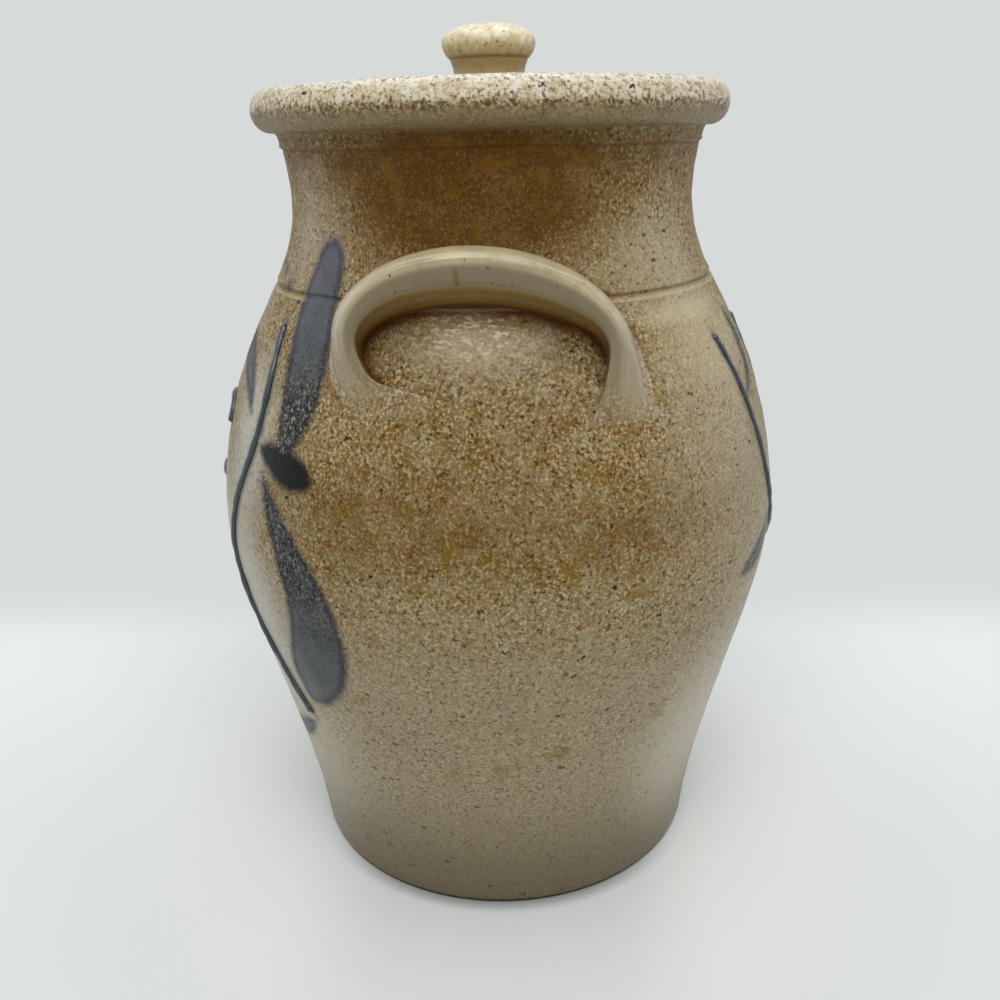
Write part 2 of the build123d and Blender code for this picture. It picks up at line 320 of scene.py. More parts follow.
def smooth_curve(points, count):
    """Natural cubic spline through points, over the length of the chords: between two points, a
    straight mix plus two cubic terms weighted by second derivatives, which one linear system gives."""
    points = np.asarray(points, float)
    gaps = np.linalg.norm(np.diff(points[:, :2], axis=0), axis=1)
    chord = np.concatenate([[0.0], np.cumsum(gaps)])
    slope = np.diff(points, axis=0) / gaps[:, None]
    system = np.eye(len(points))
    pull = np.zeros_like(points)
    inner = np.arange(1, len(points) - 1)
    system[inner, inner - 1] = gaps[:-1]
    system[inner, inner] = 2 * (gaps[:-1] + gaps[1:])
    system[inner, inner + 1] = gaps[1:]
    pull[inner] = 6 * (slope[1:] - slope[:-1])
    bend = np.linalg.solve(system, pull)
    place = np.linspace(0, chord[-1], count)
    k = np.clip(np.searchsorted(chord, place, side="right") - 1, 0, len(points) - 2)
    gap = gaps[k][:, None]
    b = (place - chord[k])[:, None] / gap
    a = 1 - b
    curve = a * points[k] + b * points[k + 1]
    return curve + ((a**3 - a) * bend[k] + (b**3 - b) * bend[k + 1]) * gap**2 / 6


WALL_CURVE = smooth_curve(WALL, 1200)


def wall_radius(height):
    """Radius of the outside at a height, straight between the points of the wall's spline."""
    return np.interp(height, WALL_CURVE[:, 1], WALL_CURVE[:, 0])


def wall_normal(points):
    """Outward normal of the wall: the radial direction, tipped up by minus the slope of the radius."""
    height = points[..., 2]
    slope = wall_radius(height + 0.5) - wall_radius(height - 0.5)
    reach = np.hypot(points[..., 0], points[..., 1])
    normal = np.stack([points[..., 0] / reach, points[..., 1] / reach, -slope], -1)
    return normal / np.linalg.norm(normal, axis=-1, keepdims=True)


def arc(center, size, start, end, count):
    """Ellipse arc from start to end in degrees: centre plus the sizes times cosine and sine."""
    turn = np.radians(np.linspace(start, end, count))
    return center + np.broadcast_to(size, 2) * np.stack([np.cos(turn), np.sin(turn)], -1)


def joined(*runs):
    """Runs of outline points end to end, without the double points where they meet."""
    points = np.concatenate(runs)
    keep = np.concatenate([[True], np.linalg.norm(np.diff(points, axis=0), axis=1) > 1e-4])
    return points[keep]


def full_turn(count):
    """Evenly spaced angles round a circle, without the last, which is the first again."""
    return np.linspace(0, 2 * np.pi, count + 1)[:-1]


def ease_between(values, start, length):
    """0 up to a start, rising straight to 1 over a length. A negative length falls instead."""
    return np.clip((values - start) / length, 0, 1)


def build_mesh(name, points, faces, attributes=None):
    """Mesh from points in millimetres and arrays of triangles and quads, turned to face outwards:
    if the sum of the signed volumes of its triangles is negative, every face is reversed."""
    volume = 0.0
    for face in faces:
        for k in range(1, face.shape[1] - 1):
            a, b, c = points[face[:, 0]], points[face[:, k]], points[face[:, k + 1]]
            volume += np.einsum("ij,ij->i", a, np.cross(b, c)).sum()
    if volume < 0:
        faces = [face[:, ::-1] for face in faces]
    sizes = np.concatenate([np.full(len(face), face.shape[1]) for face in faces])
    corners = np.concatenate([face.ravel() for face in faces])
    mesh = bpy.data.meshes.new(name)
    mesh.vertices.add(len(points))
    mesh.vertices.foreach_set("co", (points * MM).astype(np.float32).ravel())
    mesh.loops.add(len(corners))
    mesh.loops.foreach_set("vertex_index", corners.astype(np.int32))
    mesh.polygons.add(len(sizes))
    mesh.polygons.foreach_set("loop_start", (np.cumsum(sizes) - sizes).astype(np.int32))
    mesh.polygons.foreach_set("use_smooth", np.ones(len(sizes), bool))
    mesh.update(calc_edges=True)
    mesh.validate()
    for label, values in (attributes or {}).items():
        mesh.attributes.new(label, "FLOAT", "POINT").data.foreach_set("value", values.astype(np.float32))
    piece = bpy.data.objects.new(name, mesh)
    bpy.context.scene.collection.objects.link(piece)
    return piece


def closed_grid(rows, columns, first=0):
    """Faces of a grid whose columns close on themselves, with a fan to a pole before and after it."""
    row, column = np.meshgrid(np.arange(rows - 1), np.arange(columns), indexing="ij")
    corner = (first + row * columns + column).ravel()
    beside = (first + row * columns + (column + 1) % columns).ravel()
    ring = np.arange(columns)
    start_pole = np.full(columns, first + rows * columns)
    last = first + (rows - 1) * columns
    return [
        np.stack([corner, beside, beside + columns, corner + columns], -1),
        np.stack([first + (ring + 1) % columns, first + ring, start_pole], -1),
        np.stack([last + ring, last + (ring + 1) % columns, start_pole + 1], -1),
    ]


def grid_points(grid, start_pole, end_pole):
    """Points of a grid, then its two poles."""
    return np.concatenate([grid.reshape(-1, 3), [start_pole, end_pole]])


def spun(outline, angles):
    """Surface of revolution: each outline point (radius, height) goes to radius times the cosine
    and sine of each angle."""
    radius, height = outline[:, :1], outline[:, 1:]
    return np.stack([radius * np.cos(angles), radius * np.sin(angles), height + 0 * angles], -1)


def groove_offset(height, angle):
    """Height above the line cut round the shoulder, which rises and falls with a sine of the angle."""
    return height - GROOVE_HEIGHT - 0.35 * np.sin(angle + 0.7)


def stroke_curves(strokes, face):
    """Each stroke and its mirror image as points on the wall, at the wall's radius times cosine and
    sine of the face's angle plus or minus the stroke's own, with half width and pigment."""
    for points, start, end in strokes:
        curve = smooth_curve(points, 44) if len(points) > 2 else np.array(points, float)
        pigment = np.linspace(start, end, len(curve))
        radius = wall_radius(curve[:, 1])
        for hand in (1, -1):
            angle = np.radians(face + hand * curve[:, 0])
            place = np.stack([radius * np.cos(angle), radius * np.sin(angle), curve[:, 1]], -1)
            yield place, np.maximum(curve[:, 2], 0.1), pigment


def indices_near(points, line, reach):
    """Indices of the points inside a line's box grown by a reach."""
    return np.where(np.all((points > line.min(0) - reach) & (points < line.max(0) + reach), axis=1))[0]


def paint_distance(points, strokes, face):
    """Signed distance inside the painted strokes in millimetres, the largest of half width minus
    distance over all points of all strokes, and the pigment there."""
    best = np.full(len(points), FAR_FROM_PAINT)
    pigment = np.zeros(len(points))
    for curve, half_width, shade in stroke_curves(strokes, face):
        near = indices_near(points, curve, half_width.max() - FAR_FROM_PAINT)
        if len(near):
            inside = half_width - np.linalg.norm(points[near, None] - curve, axis=2)
            k = inside.argmax(1)
            value = inside[np.arange(len(near)), k]
            better = value > best[near]
            best[near[better]] = value[better]
            pigment[near[better]] = shade[k[better]]
    return best, pigment


def line_distance(points, lines, limit=14.0):
    """Distance from each point to the nearest of some lines, no more than a limit."""
    best = np.full(len(points), limit)
    for line in lines:
        near = indices_near(points, line, limit)
        if len(near):
            gap = np.linalg.norm(points[near, None] - line, axis=2).min(1)
            best[near] = np.minimum(best[near], gap)
    return best


def face_trail(points, face, count):
    """A slip line drawn as (X, Z) on the front or back, laid on the wall: Y is the face's sign
    times the root of the squared radius less the squared X."""
    curve = smooth_curve(points, count) if len(points) > 2 else np.linspace(*points, count)
    depth = np.sqrt(wall_radius(curve[:, 1]) ** 2 - curve[:, 0] ** 2)
    return np.stack([curve[:, 0], face * depth, curve[:, 1]], -1)


def slip_lines(trails, stem, face, stem_points):
    """The slip lines of a face: the mirror image of each trail, the trail, and last the stem."""
    hands = [[(hand * x, z) for x, z in trail] for trail in trails for hand in (-1, 1)]
    return [face_trail(hand, face, TRAIL_POINTS) for hand in hands] + [face_trail(stem, face, stem_points)]


def lug_frame(across, count):
    """For stations along a lug and places across it: the point on the lug's front, which lies at a
    distance from the axis that rises straight with the height, and the point where the line back
    from it, sloping down at the lug's tilt, meets the wall, by bisection."""
    stations = smooth_curve(LUG, count)
    outer, inner, share = stations[:, None, 0:2], stations[:, None, 2:4], stations[:, 4]
    flat = inner + (outer - inner) * np.asarray(across)[None, :, None]
    side, height = flat[..., 0], flat[..., 1]
    low, high = LUG_FRONT
    reach = low[1] + (height - low[0]) * (high[1] - low[1]) / (high[0] - low[0])
    depth = np.sqrt(reach**2 - side**2)
    fall = math.tan(math.radians(LUG_TILT))
    near, far = np.zeros_like(depth), np.full_like(depth, LUG_REACH_LIMIT)
    for _ in range(26):
        middle = (near + far) / 2
        outside = np.hypot(depth - middle, side) > wall_radius(height - middle * fall)
        near, far = np.where(outside, middle, near), np.where(outside, far, middle)
    front = np.stack([depth, side, height], -1)
    back = front - near[..., None] * np.array([1.0, 0.0, fall])
    return front, back, share


def turned_about(points, degrees):
    """Points turned about the pot's axis, by the turning matrix of cosine and sine."""
    c, s = math.cos(math.radians(degrees)), math.sin(math.radians(degrees))
    return points @ np.array([[c, s, 0.0], [-s, c, 0.0], [0.0, 0.0, 1.0]])


def lug_roots():
    """The lines on the wall along the underside and the top of both lugs, less their ends."""
    _, back, _ = lug_frame((-0.06, 1.35), 120)
    under, top = back[15:-28, 0], back[12:-20, 1]
    return [under, turned_about(under, 180)], [top, turned_about(top, 180)]


def closed_weights(corners, count):
    """Shares of the corners of a closed loop in each of a number of points along a smooth curve
    through them: the spline of three rounds, of which the middle one is taken."""
    ring = np.concatenate([corners] * 3 + [corners[:1]])
    shares = np.concatenate([np.eye(len(corners))] * 3 + [np.eye(len(corners))[:1]])
    return smooth_curve(np.hstack([ring, shares]), 3 * count + 1)[count:2 * count, 2:]


def lug_surface(seed):
    """Lug as a smooth closed loop carried along an arch. The loop runs from the wall under the lug
    out along its underside, round the front and back over the top to the wall; its corners are
    shares across the strap and of the stand-off. Sines of the length make it a little uneven."""
    section = np.array(LUG_SECTION)
    across, stand = section.T
    front, back, share = lug_frame(across, LUG_ROWS)
    reach = np.maximum(stand, 0)[None] * share[:, None] + np.minimum(stand, 0)[None] * LUG_SINK
    loops = back + (front - back) * reach[..., None]
    weights = closed_weights(section * LUG_SECTION_SIZE, LUG_COLUMNS)
    grid = np.einsum("kc,scd->skd", weights, loops)
    travel = np.linspace(0, 1, LUG_ROWS)[:, None]
    grid[..., 2] += 0.14 * np.sin(17 * travel + seed) + 0.09 * np.sin(41 * travel + 2 * seed)
    return grid, weights @ np.arange(len(section)) / len(section)


def ridge(path, half_width, height, seed):
    """Line of slip on the wall: half an ellipse across the path, sunk a little below it, that swells
    and thins with sines of the distance run, thickens by a bell curve near both ends and rounds off
    there as a quarter circle."""
    step = np.linalg.norm(np.diff(path, axis=0), axis=1)
    run = np.concatenate([[0.0], np.cumsum(step)])
    along = np.gradient(path, run, axis=0)
    along /= np.linalg.norm(along, axis=1, keepdims=True)
    normal = wall_normal(path)
    sideways = np.cross(along, normal)
    end_gap = np.minimum(run, run[-1] - run)
    swell = 1 + 0.10 * np.sin(run / 3.1 + seed) + 0.08 * np.sin(run / 1.3 + 2.2 * seed)
    swell *= 1 + 0.35 * np.exp(-(((end_gap - half_width) / half_width) ** 2))
    closing = np.sqrt(np.clip(1 - (1 - np.clip(end_gap / half_width, 0, 1)) ** 2, 0.0004, 1))
    width = (half_width * swell * closing)[:, None]
    rise = (height * np.minimum(swell, 1.12) * closing)[:, None]
    turn = full_turn(16)
    sunk = 0.45 * np.sin(turn) * np.minimum(rise, 1.0)
    lift = np.where(np.sin(turn) > 0, np.sin(turn) * rise, sunk)
    across = np.cos(turn) * width
    return path[:, None] + across[..., None] * sideways[:, None] + lift[..., None] * normal[:, None]


def drop(middle, radius, height, seed):
    """Drop of slip: a dome whose reach is a sine and whose height is a power of the cosine of the
    same share of a quarter turn, with a sunk foot, on the wall at its middle."""
    normal = wall_normal(middle)
    sideways = np.cross(UP, normal)
    sideways /= np.linalg.norm(sideways)
    upward = np.cross(normal, sideways)
    quarter = np.linspace(0.06, 1.0, 12)[:, None] * np.pi / 2
    turn = full_turn(28)
    reach = radius * np.sin(quarter) * (1 + 0.05 * np.sin(2 * turn + seed))
    lift = height * np.cos(quarter) ** 0.8 + 0 * turn
    outline = middle + reach[..., None] * (np.cos(turn)[:, None] * sideways + np.sin(turn)[:, None] * upward)
    grid = outline + lift[..., None] * normal
    foot = -0.9 * normal
    return np.concatenate([grid, grid[-1:] + foot]), middle + height * normal, middle + foot


# Shader maths


class Wire:
    """A value or colour in a node tree. Arithmetic on it adds Math nodes."""

    def __init__(self, tree, socket):
        self.tree = tree
        self.socket = socket

    def math(self, operation, *others):
        return self.tree.math(operation, self, *others)

    def __add__(self, other):
        return self.math("ADD", other)

    def __sub__(self, other):
        return self.math("SUBTRACT", other)

    def __rsub__(self, other):
        return self.tree.math("SUBTRACT", other, self)

    def __mul__(self, other):
        return self.math("MULTIPLY", other)

    def __truediv__(self, other):
        return self.math("DIVIDE", other)

    def __pow__(self, other):
        return self.math("POWER", other)

    __radd__ = __add__
    __rmul__ = __mul__

    def capped(self, limit=1.0):
        return self.math("MINIMUM", limit)

    def step(self, low, high):
        """0 below low, 1 above high and a smooth rise between. A low above high turns it round."""
        sockets = {"Value": self, "From Min": low, "From Max": high}
        return self.tree.add("ShaderNodeMapRange", {"interpolation_type": "SMOOTHSTEP"}, sockets)

    def hump(self, middle, width):
        """1 at the middle, falling to 0 at a width from it on both sides."""
        return (self - middle).math("ABSOLUTE").step(width, 0.0)

    def under(self, *layers):
        """This colour under further ones, each laid over the last by a share."""
        color = self
        for other, share in layers:
            color = self.tree.blend(color, other, share)
        return color


class NodeTree:
    """Nodes of a material or a world, built from expressions."""

    def __init__(self, owner):
        owner.use_nodes = True
        self.nodes, self.links = owner.node_tree.nodes, owner.node_tree.links

    def set(self, node, sockets):
        """Links wires to sockets and sets the rest. A colour may be the name of a tone."""
        for label, value in sockets.items():
            socket = node.inputs[label.replace("_", " ") if isinstance(label, str) else label]
            if isinstance(value, str):
                value = tone(*TONES[value])
            if isinstance(value, Wire):
                self.links.new(value.socket, socket)
            elif hasattr(value, "__len__") and len(socket.default_value) == 4:
                socket.default_value = (*value, 1.0)
            else:
                socket.default_value = value

    def add(self, kind, settings, sockets, output=0):
        """A node of a kind, with its settings made first, then its sockets."""
        node = self.nodes.new(kind)
        for label, value in settings.items():
            setattr(node, label, value)
        self.set(node, sockets)
        return Wire(self, node.outputs[output])

    def math(self, operation, *values):
        return self.add("ShaderNodeMath", {"operation": operation}, dict(enumerate(values)))

    def vector(self, operation, *values, output=0):
        return self.add("ShaderNodeVectorMath", {"operation": operation}, dict(enumerate(values)), output)

    def blend(self, color, other, share):
        """A colour moved towards another by a share."""
        return self.add("ShaderNodeMix", {"data_type": "RGBA"}, {"Factor": share, 6: color, 7: other}, 2)


class Finish(NodeTree):
    """A material with one Principled shader."""

    def __init__(self, name, **surface):
        self.material = bpy.data.materials.new(name)
        super().__init__(self.material)
        self.shader = self.nodes["Principled BSDF"]
        position = self.add("ShaderNodeTexCoord", {}, {}, "Object")
        self.place = self.vector("MULTIPLY", position, (1 / MM, 1 / MM, 1 / MM))
        self.surface(**surface)

    def surface(self, **sockets):
        """Feeds the shader and returns the material."""
        self.set(self.shader, sockets)
        return self.material

    def noise(self, size, detail=3.0, stretch=(1, 1, 1), roughness=0.55):
        """Soft noise from 0 to 1 whose features are about a size in millimetres."""
        place = self.vector("MULTIPLY", self.place, stretch)
        sockets = {"Vector": place, "Scale": 1 / size, "Detail": detail, "Roughness": roughness}
        return self.add("ShaderNodeTexNoise", {}, sockets, "Fac")

    def cells(self, size, stretch=(1, 1, 1)):
        """Cells about a size in millimetres: distance from the cell's middle, and a value per cell."""
        place = self.vector("MULTIPLY", self.place, stretch)
        distance = self.add("ShaderNodeTexVoronoi", {}, {"Vector": place, "Scale": 1 / size}, "Distance")
        color = Wire(self, distance.socket.node.outputs["Color"])
        return distance, self.add("ShaderNodeSeparateColor", {}, {"Color": color})

    def attribute(self, label):
        return self.add("ShaderNodeAttribute", {"attribute_name": label}, {}, "Fac")

    def axis(self, label):
        return self.add("ShaderNodeSeparateXYZ", {}, {0: self.place}, label)

    def spot(self, middle, size):
        """1 at a place on the pot, falling to 0 at a size from it along each axis."""
        scaled = self.vector("DIVIDE", self.vector("SUBTRACT", self.place, middle), size)
        return self.vector("LENGTH", scaled, output="Value").step(1.0, 0.15)

    def spots(self, table):
        """Sum of spots times their strengths."""
        return sum(self.spot(middle, size) * strength for middle, size, strength in table)

    def bump(self, height, distance, strength):
        sockets = {"Height": height, "Distance": distance * MM, "Strength": strength}
        return self.add("ShaderNodeBump", {}, sockets)


class Clay(Finish):
    """Salt-glazed clay, with the patterns that its layers share: noises from broad to fine, calm
    places, the low part of the wall, pale grains and dark pits."""

    def __init__(self, name, **surface):
        super().__init__(name, **surface)
        self.height = self.axis("Z")
        self.broad = self.noise(46.0, 3.0)
        self.patch = self.noise(11.0, 5.0, roughness=0.62)
        self.blotch = self.noise(4.6, 4.0, roughness=0.6)
        self.crumb = self.noise(1.5, 2.5, roughness=0.62)
        self.grain = self.noise(0.95, 1.5, roughness=0.6)
        self.calm = (self.spots(CALM_PLACES) + self.height.step(84.0, 30.0) * 0.42).capped()
        self.low = self.height.step(150.0, 88.0)
        self.coarse = (1 - self.calm * 0.55) * (1 - self.low * 0.3) * (self.patch * 1.3 + 0.34)
        self.light = (self.grain * 0.7 + self.crumb * 0.3).step(0.47, 0.70)
        self.pits = (self.crumb * 0.6 + self.grain * 0.4).step(0.47, 0.34)
        self.drift = (self.patch * 1.4 + self.crumb * 0.5 - 0.45).step(0.15, 0.85)

    def ground(self, pot):
        """Mottled tan and grey with pale grains and dark pits, which get fine and faint in calm places, with
        painted glints as highlights and painted shade darkening the wall towards the foot."""
        ochre = self.patch * 1.1 + self.broad * 0.7 - self.calm * 0.3 - self.height.step(146.0, 112.0) * 0.4
        ochre = ochre.step(0.76, 1.05)
        # Painted highlight: sparse pale glints in the grain.
        painted_glint = self.noise(0.7, 1.0).step(0.66, 0.76)
        return self.blend(pot.clay_grey, pot.clay_tan, ochre).under(
            ("stone", self.blotch.step(0.5, 0.66) * (1 - ochre * 0.4) * 0.6),
            ("ochre", self.blotch.step(0.48, 0.36) * (1 - self.calm * 0.6) * (1 - self.low * 0.8) * 0.62),
            ("rose", self.crumb.step(0.5, 0.7) * self.patch.step(0.6, 0.4) * 0.6),
            ("calm", self.calm * 0.6),
            ("lower_wall", self.height.step(142.0, 92.0) * 0.68),
            (pot.grain_light, self.light * self.coarse),
            (pot.speck, self.pits * self.coarse),
            ("painted_glint", painted_glint * (1 - self.low * 0.5) * 0.5),
            # Painted shade: the wall darkens towards the foot, where it faces the floor.
            ("painted_foot_shade", self.height.step(62.0, 3.0) * 0.76),
        )

    def iron(self):
        """Share of ragged dark spots, sparse and drawn out along the turning direction."""
        ragged = (self.grain - 0.5) * 0.5
        distance, cell = self.cells(8.5, (1, 1, 1.7))
        small_distance, small_cell = self.cells(3.1, (1, 1, 1.4))
        large = (distance + ragged).step(0.16, 0.08) * cell.step(0.54, 0.58)
        small = (small_distance + ragged).step(0.2, 0.08) * small_cell.step(0.5, 0.54)
        return (large + small * 0.75).capped() * (1 - self.low * 0.25)

    def drifted(self, pot):
        """The ground with ochre drifts, stains, iron spots, the pale panel on the front and painted light on
        the sides near the foot: what the jar and the feet of the lugs share."""
        share = self.broad.step(0.5, 0.7) * self.patch.step(0.5, 0.68) * (1 - self.low) * 0.4
        share = share + self.spots(DRIFTS) * self.drift
        share = share * (1 - self.calm * 0.7) * (1 - self.light * 0.4) * self.height.step(114.0, 140.0)
        distance, cell = self.cells(15.0, (1, 1, 1.5))
        stain = (distance + (self.blotch - 0.5) * 1.1).step(0.38, 0.1) * cell.step(0.52, 0.6)
        stain = stain * self.height.step(36.0, 70.0) * (1 - self.calm) * (1 - self.light * 0.6)
        return self.ground(pot).under(
            ("drift", share.capped(0.9)),
            ("belt", self.height.hump(153.0, 24.0) * (1 - self.calm * 0.7) * 0.24),
            ("stain", stain * 0.52),
            ("rust", self.spots(RUST) * self.crumb.step(0.4, 0.6) * 0.7),
            ("iron", self.iron()),
            ("panel", self.spots(PALE_PANEL).capped() * (0.84 - self.pits * 0.35)),
            # Painted light on the lower sides of the wall.
            ("painted_side_light", self.spots(PAINTED_SIDE_LIGHT_SPOTS)),
        )


# Steps


class CrockOperator:
    """What every operator of this panel shares."""

    bl_options = {"REGISTER", "UNDO"}


class SetStage(CrockOperator, bpy.types.Operator):
    """Floor, background, soft lights and the camera"""

    bl_idname = "crock.set_stage"
    bl_label = "Stage"

    def execute(self, context):
        stage = context.scene.crock_stage
        corners = np.array([(-1, -1, 0), (1, -1, 0), (1, 1, 0), (-1, 1, 0)]) * FLOOR_SIZE
        floor = build_mesh("floor", corners, [np.array([[0, 1, 2, 3]])])
        floor.data.materials.append(self.floor_paint(stage))
        floor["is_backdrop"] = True
        self.set_world(context, stage)
        for name, power, place, target, size in LIGHTS:
            self.hang_light(name, getattr(stage, power), place, target, size)
        self.place_camera(context)
        context.scene.view_settings.view_transform = "Standard"
        return {"FINISHED"}

    def floor_paint(self, stage):
        """Pale floor, paler behind the pot, with painted light beside the pot where its shadow would fall and
        a narrow painted contact shadow in front of its foot, that turns into the background outside a rounded
        square: the fourth root of the sum of fourth powers."""
        finish = Finish("studio_floor", Roughness=0.9, Specular_IOR_Level=0.1)
        across, side = finish.axis("X"), finish.axis("Y")
        away = (((across - FLOOR_CENTER) / FLOOR_DEPTH) ** 4 + (side / FLOOR_SIDE) ** 4) ** 0.25
        reach = finish.vector("LENGTH", finish.place, output="Value")
        behind = away.step(0.4, 2.75) - away.step(2.75, 3.5) * 0.5
        # Painted light: the floor beside the pot is paled where the pot's shadow falls.
        beside = reach.step(175.0, 75.0) * side.math("ABSOLUTE").step(35.0, 80.0)
        # Painted shadow: a narrow dark ring on the floor in front of the foot.
        contact = reach.step(79.0, 73.0) * across.step(30.0, 72.0) * 0.5
        color = finish.blend(stage.floor_near, stage.floor_band, behind)
        finish.surface(Base_Color=color.under(("floor_painted_light", beside * 0.45), ("floor_painted_contact_shadow", contact)))
        path = finish.add("ShaderNodeLightPath", {}, {}, "Is Camera Ray")
        glow = finish.add("ShaderNodeEmission", {}, {"Color": stage.background, "Strength": 1.0})
        lit = Wire(finish, finish.shader.outputs[0])
        far = away.step(2.75, 3.75) * path
        both = finish.add("ShaderNodeMixShader", {}, {0: far, 1: lit, 2: glow})
        finish.set(finish.nodes["Material Output"], {"Surface": both})
        return finish.material

    def set_world(self, context, stage):
        """Even light for the pot, and the background's own colour where it is seen or mirrored."""
        world = bpy.data.worlds.new("studio")
        context.scene.world = world
        tree = NodeTree(world)
        light = tree.nodes["Background"]
        tree.set(light, {"Color": (1.0, 1.0, 1.0), "Strength": stage.sky_strength})
        seen = tree.add("ShaderNodeBackground", {}, {"Color": stage.background})
        rays = ("Is Camera Ray", "Is Glossy Ray", "Is Transmission Ray")
        camera, glossy, through = [tree.add("ShaderNodeLightPath", {}, {}, ray) for ray in rays]
        either = camera.math("MAXIMUM", glossy).math("MAXIMUM", through)
        both = tree.add("ShaderNodeMixShader", {}, {0: either, 1: Wire(tree, light.outputs[0]), 2: seen})
        tree.set(tree.nodes["World Output"], {"Surface": both})

    def hang_light(self, name, power, place, target, size):
        """A rectangle of soft light at a place in millimetres, turned to its target."""
        light = bpy.data.lights.new(name, "AREA")
        light.shape = "RECTANGLE"
        light.energy = power
        light.size, light.size_y = size[0] * MM, size[1] * MM
        lamp = bpy.data.objects.new(name, light)
        bpy.context.scene.collection.objects.link(lamp)
        spot, aim = Vector(place) * MM, Vector(target) * MM
        lamp.location = spot
        lamp.rotation_euler = (aim - spot).to_track_quat("-Z", "Y").to_euler()

    def place_camera(self, context):
        """Camera beside the lug at +X, looking down at the pot, turned by small angles."""
        lens = bpy.data.cameras.new("camera")
        lens.sensor_width = CAMERA_SENSOR
        lens.lens = CAMERA_LENS
        lens.clip_start = 0.01
        camera = bpy.data.objects.new("camera", lens)
        context.scene.collection.objects.link(camera)
        cp, sp, cr, sr = (f(a) for a in (CAMERA_PITCH, CAMERA_ROLL) for f in (math.cos, math.sin))
        cy, sy = math.cos(CAMERA_YAW), math.sin(CAMERA_YAW)
        ahead, right = Vector((-cp * cy, cp * sy, -sp)), Vector((sy, cy, 0.0))
        upward = right.cross(ahead)
        turn = Matrix((right * cr + upward * sr, upward * cr - right * sr, -ahead)).transposed()
        place = Matrix.Translation(Vector(CAMERA_PLACE) * MM)
        camera.matrix_world = Matrix.Rotation(CAMERA_ORBIT, 4, "Z") @ place @ turn.to_4x4()
        context.scene.camera = camera


